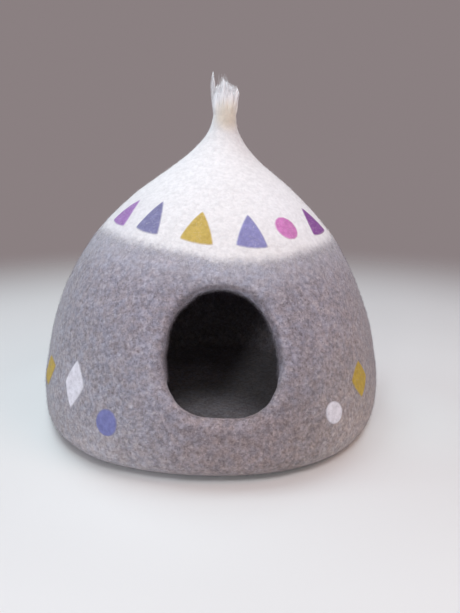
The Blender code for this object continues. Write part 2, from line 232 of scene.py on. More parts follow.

# Broad soft patches, as factors for the colour: painted light and shade on the body, the cap and the
# floor, and a beige patch round the neck. A patch is whole up to TINT_CORE of its radius.
TINT_CORE = 0.25
# A beige patch round the neck, then painted light on the cap's right and painted shade on its left.
CAP_TINT_AND_PAINTED_LIGHT = [
    # factors, middle, radius
    ((0.91, 0.84, 0.71), (0.0230, -0.0150, 0.4350), 0.029),
    ((1.07, 1.09, 1.11), (0.130, -0.100, 0.310), 0.120),
    ((0.94, 0.93, 0.95), (-0.150, -0.100, 0.310), 0.100),
]
# Painted light and shade on the grey felt, one per row: browner painted shade low at the front, a
# warm painted reflection low at the right, cool painted light above the entrance, painted light low
# at the left and low at the right, painted light on the floor inside towards the back, and painted
# shade in its middle.
BODY_PAINTED_LIGHT = [
    # factors, middle, radius
    ((0.75, 0.70, 0.66), (0.030, -0.245, 0.045), 0.135),
    ((0.99, 0.94, 0.885), (0.215, -0.130, 0.100), 0.180),
    ((1.03, 1.09, 1.12), (0.010, -0.200, 0.245), 0.080),
    ((1.08, 1.12, 1.09), (-0.185, -0.165, 0.050), 0.190),
    ((1.10, 1.09, 1.00), (0.165, -0.190, 0.040), 0.150),
    ((1.75, 1.75, 1.78), (-0.035, 0.090, 0.007), 0.085),
    ((0.80, 0.80, 0.81), (0.058, -0.032, 0.007), 0.055),
]
# Painted light from the floor: the felt is paler and warmer from the base up to the height below.
BASE_PAINTED_LIGHT = (1.18, 1.14, 1.07)
BASE_PAINTED_LIGHT_HEIGHT = 0.110
# Up the neck the white wool is made a little darker.
NECK_TONE = 0.90
NECK_TONE_HEIGHTS = (0.385, 0.430)

# Where grey turns white above the cap's ragged edge, and the thin white wool felted in below it.
CAP_EDGE_SPAN = (-0.003, 0.0115)
CAP_EDGE_WISPS = (0.0080, 5.0, 0.7)
CAP_EDGE_RAGGEDNESS = 0.018
HALO = (0.720, 0.740, 0.840)
HALO_SPAN = (-0.046, 0.004)
HALO_MOST = 0.24
# The noise of the entrance's painted shade and highlight, its span, and how much of them it leaves.
EDGE_TONE_NOISE = (0.0050, 4.0, 0.7)
EDGE_TONE_SPAN = (0.35, 0.65)
EDGE_TONE_SHARES = (0.45, 1.30)

FELTED_MOTTLE = (0.0045, 4.0, 0.62)
FELTED_HAIRS = (0.0060, 4.0, 0.7)
HAIR_RELIEF = 0.10
RELIEF_DEPTH = 0.0030
BODY_RELIEF = 0.55
MOTIF_RELIEF = 0.35
TUFT_RELIEF_DEPTH = 0.0016
TUFT_RELIEF = 0.4

MOTIF_COLOURS = {
    # slot: colour
    "white_felt": (0.765, 0.760, 0.830),
    "light_purple_felt": (0.320, 0.164, 0.430),
    "grey_blue_felt": (0.203, 0.201, 0.365),
    "yellow_felt": (0.550, 0.402, 0.104),
    "violet_felt": (0.252, 0.246, 0.487),
    "pink_felt": (0.590, 0.200, 0.490),
    "dark_purple_felt": (0.225, 0.056, 0.300),
}
# The lower row's copies of these colours are darker and deeper, as painted shade.
LOWER_ROW_PAINTED_SHADE = {
    "yellow_felt": (0.93, 0.89, 0.42),
    "violet_felt": (0.73, 0.81, 0.89),
}
MOTIF_CLUMPS = (0.0070, 5.0, 0.65)
MOTIF_SHADE = 0.86
MOTIF_LIGHT = 1.08
MOTIF_PALENESS = 0.015
# The ground's wool over a motif's outline: its colour by row, how much, how far in, how unevenly.
MOTIF_GROUNDS = {"cap": (0.800, 0.790, 0.805), "lower": (0.300, 0.280, 0.325)}
MOTIF_BLEND_MOST = 0.6
MOTIF_BLEND_REACH = 0.0022
MOTIF_STRAYS = (0.0012, 3.0, 0.7)
MOTIF_STRAY_REACH = 0.0030

TUFT_STREAKS = (0.0013, 3.0)
TUFT_STREAK_LENGTH = 8.0
TUFT_STREAK_SHADES = (0.93, 1.03)
TUFT_LOOSE_HEIGHTS = (0.430, 0.452)

WOOL_ROUGHNESS = 0.95
WOOL_SPECULAR = 0.12
WOOL_SHEEN_ROUGHNESS = 0.55
BODY_SHEEN = 0.25
MOTIF_SHEEN = 0.12
FIBRE_SHEEN = 0.1
TUFT_SHEEN = 0.2

# The colour sockets of a mix node, among those of its other kinds of data.
MIX_INPUTS = (6, 7)
MIX_OUTPUT = 2


class Nodes:
    """A short way to build a material's node tree."""

    def __init__(self, name):
        self.material = bpy.data.materials.new(name)
        self.material.use_nodes = True
        self.tree = self.material.node_tree
        self.shader = self.tree.nodes["Principled BSDF"]
        place = self.tree.nodes.new("ShaderNodeTexCoord")
        self.place = place.outputs["Object"]

    def fill(self, node, inputs):
        """Sets a node's inputs, given by name or number, or links them where one is an output."""
        for key, value in inputs.items():
            if isinstance(value, bpy.types.NodeSocket):
                self.tree.links.new(value, node.inputs[key])
            else:
                node.inputs[key].default_value = value

    def new(self, kind, inputs, **settings):
        node = self.tree.nodes.new("ShaderNode" + kind)
        for name, setting in settings.items():
            setattr(node, name, setting)
        self.fill(node, inputs)
        return node

    def noise(self, size, detail=2.0, roughness=0.5, kind="FBM", length=1.0):
        """A noise whose features measure about size, and length times that up the Z axis."""
        mapping = self.new("Mapping", {"Vector": self.place, "Scale": (1.0, 1.0, 1 / length)})
        inputs = {"Scale": 1 / size, "Detail": detail, "Roughness": roughness}
        inputs["Vector"] = mapping.outputs["Vector"]
        return self.new("TexNoise", inputs, noise_type=kind).outputs["Fac"]

    def math(self, operation, first, second):
        return self.new("Math", {0: first, 1: second}, operation=operation).outputs[0]

    def strayed(self, value, noise, reach):
        """The value, moved up and down by the noise, over reach in all."""
        swing = self.math("SUBTRACT", self.noise(*noise), 0.5)
        return self.math("ADD", value, self.math("MULTIPLY", swing, reach))

    def step(self, value, low, high, to_low=0.0, to_high=1.0):
        inputs = {"Value": value, "From Min": low, "From Max": high}
        inputs.update({"To Min": to_low, "To Max": to_high})
        return self.new("MapRange", inputs, interpolation_type="SMOOTHSTEP").outputs["Result"]

    def mix(self, share, first, second, blend="MIX"):
        inputs = {0: share}
        for index, value in zip(MIX_INPUTS, (first, second)):
            inputs[index] = value if isinstance(value, bpy.types.NodeSocket) else (*value, 1.0)
        return self.new("Mix", inputs, data_type="RGBA", blend_type=blend).outputs[MIX_OUTPUT]

    def times(self, colour, factors, share=1.0):
        """The colour, multiplied by the factors as far as share says."""
        return self.mix(share, colour, factors, "MULTIPLY")

    def grey(self, value):
        """A value as a colour."""
        return self.new("CombineColor", {0: value, 1: value, 2: value}).outputs[0]

    def height(self):
        return self.new("SeparateXYZ", {0: self.place}).outputs["Z"]

    def distance(self, middle):
        places = {0: self.place, 1: middle}
        return self.new("VectorMath", places, operation="DISTANCE").outputs["Value"]

    def attribute(self, name):
        return self.new("Attribute", {}, attribute_name=name).outputs["Fac"]

    def bump(self, height, distance, strength):
        node = self.new("Bump", {"Height": height, "Distance": distance, "Strength": strength})
        self.fill(self.shader, {"Normal": node.outputs["Normal"]})

    def shade(self, colour, roughness, specular, **others):
        inputs = {"Base Color": colour, "Roughness": roughness, "Specular IOR Level": specular}
        self.fill(self.shader, inputs | others)

    def finish_wool(self, colour, sheen):
        self.shade(colour, WOOL_ROUGHNESS, WOOL_SPECULAR)
        self.fill(self.shader, {"Sheen Weight": sheen, "Sheen Roughness": WOOL_SHEEN_ROUGHNESS})
        return self.material


def with_tints_and_painted_light(nodes, colour, patch_rows):
    """Soft patches round some places that multiply the colour: painted light and shade, and a beige
    patch round the neck.
    """
    for factors, middle, radius in patch_rows:
        share = nodes.step(nodes.distance(middle), TINT_CORE * radius, radius, 1.0, 0.0)
        colour = nodes.times(colour, factors, share)
    return colour


def heather(nodes):
    """Grey wool of dark and light fibres: mottles of a few millimetres, specks and broad clouds,
    then painted light low down and painted light and shade round some places.
    """
    mottle = nodes.step(nodes.noise(*GREY_MOTTLE), *WIDE_SPAN)
    colour = nodes.mix(mottle, GREY_DARK, GREY_LIGHT)
    for size, rarity, speck, most in GREY_SPECKS:
        share = nodes.step(nodes.noise(size), rarity, rarity + SPECK_SOFTNESS, 0.0, most)
        colour = nodes.mix(share, colour, speck)
    for noise_row, darkest, lightest in GREY_SHADES:
        shade = nodes.step(nodes.noise(*noise_row), *NARROW_SPAN, darkest, lightest)
        colour = nodes.times(colour, nodes.grey(shade))
    hue = nodes.mix(nodes.step(nodes.noise(*GREY_HUES), *NARROW_SPAN), WARM_HUE, COOL_HUE)
    # Painted light from the floor, fading out upwards from the base.
    low = nodes.step(nodes.height(), 0.0, BASE_PAINTED_LIGHT_HEIGHT, 1.0, 0.0)
    colour = nodes.times(nodes.times(colour, hue), BASE_PAINTED_LIGHT, low)
    # Painted light and shade round some places.
    return with_tints_and_painted_light(nodes, colour, BODY_PAINTED_LIGHT)


def white_wool(nodes):
    """White wool in soft clumps, darker up the neck."""
    clumps = nodes.step(nodes.noise(*WHITE_CLUMPS), *WIDE_SPAN)
    tone = nodes.step(nodes.height(), *NECK_TONE_HEIGHTS, 1.0, NECK_TONE)
    return nodes.times(nodes.mix(clumps, WHITE_SHADE, WHITE_LIGHT), nodes.grey(tone))


def felt_relief(nodes, strength):
    """Low mottles and fine hairs in the felt's face."""
    hairs = nodes.noise(*FELTED_HAIRS, kind="RIDGED_MULTIFRACTAL")
    hairs = nodes.math("MULTIPLY", hairs, HAIR_RELIEF)
    nodes.bump(nodes.math("ADD", nodes.noise(*FELTED_MOTTLE), hairs), RELIEF_DEPTH, strength)


def body_material():
    nodes = Nodes("heather_grey_and_white_felt")
    # The cap's painted light and shade, and the beige patch round the neck.
    white = with_tints_and_painted_light(nodes, white_wool(nodes), CAP_TINT_AND_PAINTED_LIGHT)
    height = nodes.strayed(nodes.attribute("above_edge"), CAP_EDGE_WISPS, CAP_EDGE_RAGGEDNESS)
    grey = nodes.mix(nodes.step(height, *HALO_SPAN, 0.0, HALO_MOST), heather(nodes), HALO)
    colour = nodes.mix(nodes.step(height, *CAP_EDGE_SPAN), grey, white)
    ragged = nodes.step(nodes.noise(*EDGE_TONE_NOISE), *EDGE_TONE_SPAN, *EDGE_TONE_SHARES)
    tone = nodes.math("MULTIPLY", nodes.attribute("edge_painted_light"), ragged)
    # Painted shade along the top of the entrance's rolled edge, and a painted highlight along its
    # bottom.
    for sign, painted in ((-1.0, EDGE_PAINTED_SHADE), (1.0, EDGE_PAINTED_HIGHLIGHT)):
        share = nodes.math("MAXIMUM", nodes.math("MULTIPLY", tone, sign), 0.0)
        colour = nodes.times(colour, painted, share)
    felt_relief(nodes, BODY_RELIEF)
    return nodes.finish_wool(colour, BODY_SHEEN)


def motif_material(name, colour, ground):
    """Coloured wool, with fibres of the ground's wool felted over its outline."""
    nodes = Nodes(name)
    dark = tuple(channel * MOTIF_SHADE for channel in colour)
    light = tuple(channel * MOTIF_LIGHT + MOTIF_PALENESS for channel in colour)
    tone = nodes.mix(nodes.step(nodes.noise(*MOTIF_CLUMPS), *NARROW_SPAN), dark, light)
    inside = nodes.strayed(nodes.attribute("inside"), MOTIF_STRAYS, MOTIF_STRAY_REACH)
    blend = nodes.step(inside, 0.0, MOTIF_BLEND_REACH, MOTIF_BLEND_MOST, 0.0)
    felt_relief(nodes, MOTIF_RELIEF)
    return nodes.finish_wool(nodes.mix(blend, tone, ground), MOTIF_SHEEN)


def fibre_material(name, dark, light):
    """Loose fibres, each with its own tone between dark and light."""
    nodes = Nodes(name)
    return nodes.finish_wool(nodes.mix(nodes.attribute("tone"), dark, light), FIBRE_SHEEN)


def tuft_material():
    """Streaky loose wool, which goes over into the neck's felt at its foot."""
    nodes = Nodes("loose_white_wool")
    streaks = nodes.noise(*TUFT_STREAKS, length=TUFT_STREAK_LENGTH)
    shade = nodes.step(streaks, *NARROW_SPAN, *TUFT_STREAK_SHADES)
    wool = nodes.mix(nodes.attribute("tone"), LOOSE_DARK, LOOSE_LIGHT)
    loose = nodes.step(nodes.height(), *TUFT_LOOSE_HEIGHTS)
    wool = nodes.mix(loose, white_wool(nodes), nodes.times(wool, nodes.grey(shade)))
    felted = nodes.noise(*FELTED_MOTTLE)
    change = nodes.math("MULTIPLY", loose, nodes.math("SUBTRACT", streaks, felted))
    nodes.bump(nodes.math("ADD", felted, change), TUFT_RELIEF_DEPTH, TUFT_RELIEF)
    return nodes.finish_wool(with_tints_and_painted_light(nodes, wool, CAP_TINT_AND_PAINTED_LIGHT[:1]), TUFT_SHEEN)


# ---- the felt body ----


def new_object(name, data):
    thing = bpy.data.objects.new(name, data)
    bpy.context.scene.collection.objects.link(thing)
    return thing


def new_mesh(name, coordinates, faces, material):
    mesh = bpy.data.meshes.new(name)
    mesh.from_pydata(coordinates, [], faces)
    mesh.materials.append(material)
    return mesh


def new_piece(name, coordinates, faces, material):
    piece = new_object(name, new_mesh(name, coordinates, faces, material))
    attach(piece, "root")
    return piece


def plain_faces(mesh):
    return [tuple(polygon.vertices) for polygon in mesh.polygons]


def give_points(mesh, name, values):
    """Gives each point of the mesh a value that its material reads."""
    mesh.attributes.new(name, "FLOAT", "POINT").data.foreach_set("value", values)


def of_points(mesh, kind):
    values = np.empty(len(mesh.vertices) * 3)
    mesh.vertices.foreach_get(kind, values)
    return values.reshape(-1, 3)


def positions(mesh):
    return of_points(mesh, "co")


def normals(mesh):
    return of_points(mesh, "normal")


def opened(mesh):
    work = bmesh.new()
    work.from_mesh(mesh)
    return work


def welded(mesh, quads):
    """Joins the mesh's split corners, and its triangles into four-sided faces where they fit."""
    work = opened(mesh)
    bmesh.ops.remove_doubles(work, verts=work.verts, dist=WELD)
    if quads:
        angles = {"angle_face_threshold": QUAD_ANGLE, "angle_shape_threshold": QUAD_ANGLE}
        bmesh.ops.join_triangles(work, faces=work.faces, **angles)
    coordinates = [vertex.co.copy() for vertex in work.verts]
    faces = [[vertex.index for vertex in face.verts] for face in work.faces]
    work.free()
    return coordinates, faces


def apply_modifiers(piece):
    evaluated = piece.evaluated_get(bpy.context.evaluated_depsgraph_get())
    mesh = bpy.data.meshes.new_from_object(evaluated)
    piece.modifiers.clear()
    piece.data = mesh


def subdivide(piece, levels, kind="CATMULL_CLARK"):
    modifier = piece.modifiers.new("Subdivision", "SUBSURF")
    modifier.subdivision_type = kind
    modifier.levels = levels
    modifier.render_levels = levels
    apply_modifiers(piece)


def swell(place):
    """How far the felt stands out or in there."""
    point = Vector(place)
    return sum(height * noise.noise(point / size) for size, height in SWELLS)


def beyond_entrance(places):
    """How far outside the entrance's outline each place lies, along the felt's face."""
    azimuths = np.arctan2(places[:, 0], -places[:, 1])
    across = azimuths * np.hypot(places[:, 0], places[:, 1])
    up = places[:, 2] - ENTRANCE_WIDEST_HEIGHT
    angles = np.arctan2(up, across)
    half_height = np.where(up < 0, ENTRANCE_DROP, ENTRANCE_RISE)
    power = ENTRANCE_ROUNDNESS
    share = np.abs(np.cos(angles)) / ENTRANCE_HALF_WIDTH, np.abs(np.sin(angles)) / half_height
    reach = (share[0] ** power + share[1] ** power) ** (-1 / power)
    return np.hypot(across, up) - reach


def edge_wobble(place):
    """How far the edge runs off its line there. noise.noise_vector would differ in each run."""
    return sum(reach * noise.noise(place / size) for size, reach in EDGE_WOBBLES)


def curl_edge(places):
    """Lets the entrance's edge run a little unevenly and roll inwards."""
    beyond = np.maximum(beyond_entrance(places), 0.0)
    near = 1 - smooth_step(0.0, EDGE_CURL_REACH, beyond)
    directions = np.arctan2(places[:, 2] - ENTRANCE_WIDEST_HEIGHT, places[:, 0])
    upwards = np.maximum(np.sin(directions), 0.0) ** 0.5
    power = EDGE_CURL_POWER + (EDGE_CURL_TOP_POWER - EDGE_CURL_POWER) * upwards
    most = EDGE_CURL * (1 - (1 - EDGE_CURL_TOP_SHARE) * upwards)
    curl = most * (1 - np.minimum(beyond / EDGE_CURL_REACH, 1.0)) ** power
    offsets = looked_up(EDGE_OFFSETS, np.degrees(directions))
    for i in np.nonzero(near > 0)[0]:
        place = Vector(places[i])
        across = offsets[i] * math.cos(directions[i]) + edge_wobble(place)
        up = offsets[i] * math.sin(directions[i]) + edge_wobble(place + EDGE_WOBBLE_SHIFT)
        places[i] += (across * near[i], curl[i], up * near[i])
    return places


def edge_painted_light(places):
    """Painted shade and highlight along the entrance's rolled edge: from -1, darkest shade, to 1,
    palest highlight, and 0 away from it.
    """
    beyond = np.abs(beyond_entrance(places))
    up = places[:, 2] - ENTRANCE_WIDEST_HEIGHT
    slant = up / np.maximum(np.hypot(places[:, 0], up), WELD)
    dark = np.maximum(slant, 0.0) ** EDGE_DARK_POWER
    dark *= 1 - smooth_step(0.0, EDGE_DARK_REACH, beyond)
    pale = np.maximum(-slant, 0.0)
    pale *= 1 - smooth_step(EDGE_PALE_REACH / 3, EDGE_PALE_REACH, beyond)
    return (pale - dark) * (places[:, 1] < EDGE_TONE_FRONT)


def make_uneven(mesh):
    """Rolls the entrance's edge and gives the felt its swells."""
    places = curl_edge(positions(mesh))
    amount = np.array([swell(place) for place in places])
    amount *= smooth_step(*SWELL_START_HEIGHTS, places[:, 2])
    amount *= 1 - (1 - SWELL_CALM_SHARE) * smooth_step(*SWELL_CALM_HEIGHTS, places[:, 2])
    away = places - np.array(SWELL_CENTRE)
    away[:, 2] *= SWELL_UPWARDS_SHARE
    away /= np.linalg.norm(away, axis=1)[:, None]
    mesh.vertices.foreach_set("co", (places + away * amount[:, None]).ravel())
    mesh.update()


def faces_outwards(places, directions):
    """True where the surface looks away from the cabin, not into it."""
    middle_x = looked_up(TUFT_SECTIONS, places[:, 2])
    away = places - (0.0, 0.0, CABIN_MIDDLE_HEIGHT)
    away[:, 0] -= middle_x * smooth_step(*LEAN_HEIGHTS, places[:, 2])
    return (away * directions).sum(axis=1) > 0


def above_cap_edge(places):
    azimuths = np.degrees(np.arctan2(places[:, 0], -places[:, 1]))
    return places[:, 2] - looked_up(CAP_EDGE, azimuths)


def felt_body(material):
    coordinates, faces = welded(frame["nodes"]["felt_shell"].data, quads=True)
    body = new_piece("felt_body", coordinates, faces, material)
    subdivide(body, BODY_SUBDIVISIONS)
    make_uneven(body.data)
    body.data.shade_smooth()
    places = positions(body.data)
    outside = faces_outwards(places, normals(body.data))
    above = np.where(outside, above_cap_edge(places), INNER_SIDE_ABOVE_EDGE)
    give_points(body.data, "above_edge", above)
    give_points(body.data, "edge_painted_light", edge_painted_light(places))
    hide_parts("felt_shell")
    return body


# ---- the felted motifs ----


def outer_skin(node):
    """The CAD motif's outer side, as an open sheet."""
    coordinates, faces = welded(frame["nodes"][node].data, quads=False)
    centre = sum(coordinates, Vector()) / len(coordinates)
    outward = Vector((centre.x, centre.y, 0.0)).normalized()
    outward.z = CAP_ROW_RISE if node.startswith("cap") else 0.0
    outward.normalize()
    kept = []
    for face in faces:
        a, b, c = (coordinates[i] for i in face[:3])
        if (b - a).cross(c - a).normalized().dot(outward) > OUTER_SIDE_SHARE:
            kept.append(face)
    used = sorted({i for face in kept for i in face})
    new_index = {old: new for new, old in enumerate(used)}
    return [coordinates[i] for i in used], [[new_index[i] for i in face] for face in kept]


def boundary_vertices(mesh):
    work = opened(mesh)
    found = [vertex.index for vertex in work.verts if vertex.is_boundary]
    work.free()
    return found


def round_outline(mesh):
    """Rounds the corners of an open sheet's outline a little, and evens out the points inside."""
    work = opened(mesh)
    partners = {}
    for vertex in work.verts:
        edges = [edge for edge in vertex.link_edges if edge.is_boundary or not vertex.is_boundary]
        partners[vertex] = [edge.other_vert(vertex) for edge in edges]
    for _ in range(MOTIF_OUTLINE_ROUNDING):
        means = {
            vertex: sum((other.co for other in others), Vector()) / len(others)
            for vertex, others in partners.items()
        }
        for vertex, mean in means.items():
            vertex.co = (vertex.co + mean) / 2
    work.to_mesh(mesh)
    work.free()


def distances_to(points, places):
    tree = KDTree(len(points))
    for i, point in enumerate(points):
        tree.insert(point, i)
    tree.balance()
    return np.array([tree.find(place)[2] for place in places])


def laid_on(surface, mesh):
    """Lays the open sheet on the felt, gives it a low crown and closes it underneath.

    Returns its coordinates and faces, and how far each point lies inside its outline.
    """
    places = positions(mesh)
    inside = distances_to([places[i] for i in boundary_vertices(mesh)], places)
    rises = smooth_step(-MOTIF_SLOPE_WIDTH * MOTIF_SLOPE_OUTSIDE, MOTIF_SLOPE_WIDTH, inside)
    top, bottom = [], []
    for place, rise in zip(places, rises.tolist()):
        spot, normal, _, _ = surface.find_nearest(Vector(place))
        bumps = MOTIF_UNEVENNESS * noise.noise(Vector(place) / MOTIF_BUMP_SIZE)
        top.append(spot + normal * (rise * (MOTIF_CROWN + bumps)))
        bottom.append(spot - normal * MOTIF_SINK)
    faces = plain_faces(mesh)
    count = len(top)
    work = opened(mesh)
    rim = [[v.index for v in edge.verts] for edge in work.edges if edge.is_boundary]
    directed = {(face[i], face[(i + 1) % len(face)]) for face in faces for i in range(len(face))}
    work.free()
    closed = faces + [[i + count for i in reversed(face)] for face in faces]
    for a, b in rim:
        if (a, b) not in directed:
            a, b = b, a
        closed.append([b, a, a + count, b + count])
    return top + bottom, closed, [*inside, *[0.0] * count]


def sheet_size(node, area):
    """The motif's width across and length up the felt, measured on its CAD solid."""
    places = positions(frame["nodes"][node].data)
    centre = places.mean(axis=0)
    across = np.array([-centre[1], centre[0], 0.0])
    across /= np.linalg.norm(across)
    spread = places - centre
    rest = spread - np.outer(spread @ across, across)
    up = np.linalg.svd(rest, full_matrices=False)[2][0]
    width = np.ptp(spread @ across)
    length = np.ptp(rest @ up)
    return (float(width), float(length)), float(min(area, width * length))


def felt_motif(node, material, surface):
    coordinates, faces = outer_skin(node)
    motif = new_piece(node + "_felt", coordinates, faces, material)
    subdivide(motif, MOTIF_SUBDIVISIONS, "SIMPLE")
    round_outline(motif.data)
    area = sum(polygon.area for polygon in motif.data.polygons)
    coordinates, faces, inside = laid_on(surface, motif.data)
    mesh = new_mesh(motif.name, coordinates, faces, material)
    give_points(mesh, "inside", inside)
    mesh.shade_smooth()
    mesh.set_sharp_from_angle(angle=MOTIF_SHARP_ANGLE)
    motif.data = mesh
    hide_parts(node)
    flat, area = sheet_size(node, area)


def row_material(row, slot):
    colour = MOTIF_COLOURS[slot]
    # The lower row's copy is darker, as painted shade.
    if row == "lower" and slot in LOWER_ROW_PAINTED_SHADE:
        colour = tuple(a * b for a, b in zip(colour, LOWER_ROW_PAINTED_SHADE[slot]))
    return motif_material(row + "_" + slot + "_wool", colour, MOTIF_GROUNDS[row])


def felt_motifs(surface):
    materials = {}
    for part in frame["record"]["subparts"]:
        node, slot = part["node"], part["material_slot"]
        row = node.split("_")[0]
        if row in ("cap", "lower"):
            if (row, slot) not in materials:
                materials[row, slot] = row_material(row, slot)
            felt_motif(node, materials[row, slot], surface)


# ---- loose fibres ----

# A hair's points, as shares of its length.
LYING_STEPS = np.array((0.0, 0.35, 0.7, 1.0))
STANDING_STEPS = np.array((0.0, 0.5, 1.0))
HAIR_ROOT_DEPTH = 0.0003
HAIR_TAPER = 0.45
HAIR_THICKNESSES = (0.3, 0.6)
# How high a lying hair arches and how far it bends aside, while the felt curves away under it.
LYING_LIFTS = (0.0003, 0.0013)
LYING_ARCH = 2.3
LYING_BEND = 0.35
FELT_CURVATURE = 0.25
STANDING_LEANS = (0.1, 1.1)
STANDING_BEND = 0.3
# Where each kind of hair grows, by height above the floor or above the cap's edge.
NAP_HEIGHTS = (0.006, 0.425)
GREY_TOP = 0.004
WHITE_BOTTOM = 0.002
EDGE_WISP_HEIGHTS = (-0.004, 0.009)
RIM_FRONT = -0.15
RIM_HEIGHTS = (0.07, 0.25)
RIM_FUZZ_REACH = 0.0035


def unit(vectors):
    return vectors / np.linalg.norm(vectors, axis=1)[:, None]


def any_side(vectors):
    """A unit vector at a right angle to each unit vector."""
    return unit(np.cross(vectors, np.eye(3)[np.argmin(np.abs(vectors), axis=1)]))


def hair_mesh(paths, widths):
    """Closed three-sided hairs along paths that have as many points each."""
    count, points = paths.shape[:2]
    rings = points - 2
    along = unit(paths[:, -1] - paths[:, 0])
    side = any_side(along)
    other = np.cross(along, side)
    turns = np.arange(3) * math.tau / 3
    circle = side[:, None] * np.cos(turns)[:, None] + other[:, None] * np.sin(turns)[:, None]
    radii = widths[:, None] * (1 - HAIR_TAPER * np.arange(1, points - 1) / (points - 1))
    bodies = paths[:, 1:-1, None] + circle[:, None] * radii[:, :, None, None]
    bodies = bodies.reshape(count, rings * 3, 3)
    coordinates = np.concatenate([paths[:, :1], bodies, paths[:, -1:]], axis=1)
    tip = rings * 3 + 1
    ends, sides = [], []
    for corner in range(3):
        after = (corner + 1) % 3
        ends.append([0, 1 + after, 1 + corner])
        ends.append([tip - 3 + corner, tip - 3 + after, tip])
        for low in range(1, tip - 3, 3):
            sides.append([low + corner, low + after, low + 3 + after, low + 3 + corner])
    first = np.arange(count)[:, None, None] * (tip + 1)
    faces = (first + np.array(ends)).reshape(-1, 3).tolist()
    if sides:
        faces += (first + np.array(sides)).reshape(-1, 4).tolist()
    return coordinates.reshape(-1, 3), faces


def fibre_piece(name, paths, widths, tones, material, slot):
    coordinates, faces = hair_mesh(paths, widths)
    piece = new_piece(name, coordinates.tolist(), faces, material)
    give_points(piece.data, "tone", np.repeat(tones, len(coordinates) // len(paths)))
    piece.data.shade_smooth()
    return piece


def random_spots(mesh, count, chooser, wanted):
    """Random places on the mesh where wanted holds, with their normals."""
    mesh.calc_loop_triangles()
    corners = np.empty(len(mesh.loop_triangles) * 3, dtype=np.int32)
    mesh.loop_triangles.foreach_get("vertices", corners)
    corners = corners.reshape(-1, 3)
    areas = np.empty(len(corners))
    mesh.loop_triangles.foreach_get("area", areas)
    places = positions(mesh)[corners]
    directions = normals(mesh)[corners]
    areas *= wanted(places.mean(axis=1), directions.mean(axis=1))
    picked = chooser.choice(len(corners), size=count, p=areas / areas.sum())
    shares = chooser.dirichlet((1.0, 1.0, 1.0), size=count)[:, :, None]
    return (places[picked] * shares).sum(axis=1), unit((directions[picked] * shares).sum(axis=1))


def random_directions(chooser, directions, downwards):
    """Directions along the surface, drawn towards its downhill side where downwards is over 0."""
    turn = chooser.uniform(0, math.tau, len(directions))[:, None]
    side = any_side(directions)
    along = side * np.cos(turn) + np.cross(directions, side) * np.sin(turn)
    if downwards:
        fall = unit(directions * directions[:, 2:] - np.array((0.0, 0.0, 1.0)))
        along = along + fall * downwards
        along = unit(along - directions * (along * directions).sum(axis=1)[:, None])
    return along


def lying_hairs(chooser, spots, directions, lengths, downwards):
    """Hairs that lie nearly flat on the felt, from roots just under it."""
    along = random_directions(chooser, directions, downwards)
    across = np.cross(directions, along)
    lifts = chooser.uniform(*LYING_LIFTS, len(spots))[:, None]
    bends = chooser.uniform(-LYING_BEND, LYING_BEND, len(spots)) * lengths
    bends = bends[:, None] * LYING_STEPS**2
    reach = lengths[:, None] * LYING_STEPS
    heights = lifts * np.sin(LYING_STEPS * LYING_ARCH) - HAIR_ROOT_DEPTH * (1 - LYING_STEPS)
    heights -= reach**2 / 2 / FELT_CURVATURE
    paths = spots[:, None] + along[:, None] * reach[:, :, None]
    return paths + across[:, None] * bends[:, :, None] + directions[:, None] * heights[:, :, None]


def standing_hairs(chooser, spots, directions, lengths, downwards):
    """Short hairs that stand out of the felt and lean any way."""
    along = random_directions(chooser, directions, downwards)
    across = np.cross(directions, along)
    leans = chooser.uniform(*STANDING_LEANS, len(spots))[:, None]
    rise = unit(directions + along * leans)
    reach = lengths[:, None] * STANDING_STEPS
    bends = chooser.uniform(-STANDING_BEND, STANDING_BEND, len(spots)) * lengths
    bends = bends[:, None] * STANDING_STEPS**2
    roots = spots - directions * HAIR_ROOT_DEPTH
    return roots[:, None] + rise[:, None] * reach[:, :, None] + across[:, None] * bends[:, :, None]


def between(values, span):
    return (values > span[0]) & (values < span[1])


def outer_felt(places, directions):
    """True on the outer wall, clear of the floor and of the tuft."""
    return between(places[:, 2], NAP_HEIGHTS) & faces_outwards(places, directions)


def grey_spot(places, directions):
    return outer_felt(places, directions) & (above_cap_edge(places) < GREY_TOP)


def white_spot(places, directions):
    return outer_felt(places, directions) & (above_cap_edge(places) > WHITE_BOTTOM)


def edge_spot(places, directions):
    return outer_felt(places, directions) & between(above_cap_edge(places), EDGE_WISP_HEIGHTS)


def rim_spot(places, _):
    in_front = (places[:, 1] < RIM_FRONT) & between(places[:, 2], RIM_HEIGHTS)
    return in_front & (beyond_entrance(places) < RIM_FUZZ_REACH)


NAP = [
    # name, slot, kind of hair, count, kind of spot, shortest, longest, thickness, downwards
    ("grey_nap", "grey_felt", lying_hairs, 9200, grey_spot, 0.004, 0.012, 0.00016, 0),
    ("grey_fuzz", "grey_felt", standing_hairs, 31000, grey_spot, 0.0012, 0.0036, 0.00024, 0),
    ("rim_fuzz", "grey_felt", standing_hairs, 8400, rim_spot, 0.0014, 0.0054, 0.00026, 0),
    ("white_nap", "white_felt", lying_hairs, 4400, white_spot, 0.005, 0.014, 0.00016, 0),
    ("white_fuzz", "white_felt", standing_hairs, 10000, white_spot, 0.0010, 0.0032, 0.00020, 0),
    ("cap_edge_wisps", "white_felt", lying_hairs, 4700, edge_spot, 0.006, 0.014, 0.00016, 0.8),
]
NAP_TONES = {"grey_felt": (GREY_DARK, GREY_LIGHT), "white_felt": (WHITE_SHADE, WHITE_LIGHT)}


